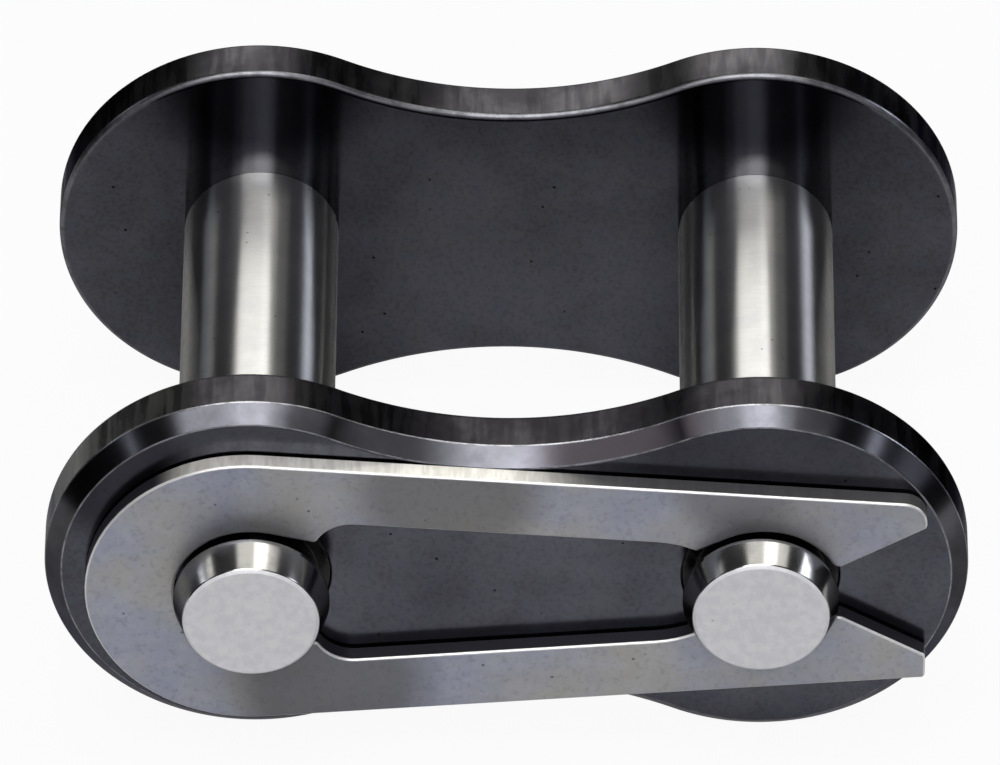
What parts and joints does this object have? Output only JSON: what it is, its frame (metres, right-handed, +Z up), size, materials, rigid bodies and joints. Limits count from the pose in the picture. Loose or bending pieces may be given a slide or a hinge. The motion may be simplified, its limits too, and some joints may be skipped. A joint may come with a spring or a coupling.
{
  "type": "chain connecting link",
  "caption": "Roller chain connecting link: figure-eight side plates on parallel steel pins, with a slip-on cover plate held by a forked spring clip.",
  "frame": {"origin": "on the surface that the two upright plates stand on, midway between the pins and midway along the overall depth", "axes": "+X along the chain, from the clip's closed end to its open end; +Y along the pins, from the clip side to the riveted side; +Z up, across the plates' height"},
  "size_m": [0.0346, 0.0268, 0.0156],
  "materials": {
    "plate_steel": "heat-blued steel, smooth satin",
    "pin_steel": "ground and polished bright",
    "clip_steel": "spring steel, fine matte with bright edges"
  },
  "bodies": {
    "pin_link": {"base_plate": "plate_steel", "left_pin": "pin_steel", "right_pin": "pin_steel"},
    "cover": {"cover_plate": "plate_steel"},
    "clip": {"spring_clip": "clip_steel"}
  },
  "joints": [
    {"name": "cover_slide", "type": "slide", "parent": "pin_link", "child": "cover", "axis": [0, -1, 0], "range_m": [0, 0.03]},
    {"name": "clip_slide", "type": "slide", "parent": "cover", "child": "clip", "axis": [-1, 0, 0], "range_m": [0, 0.03], "deforming": ["spring_clip"]}
  ]
}
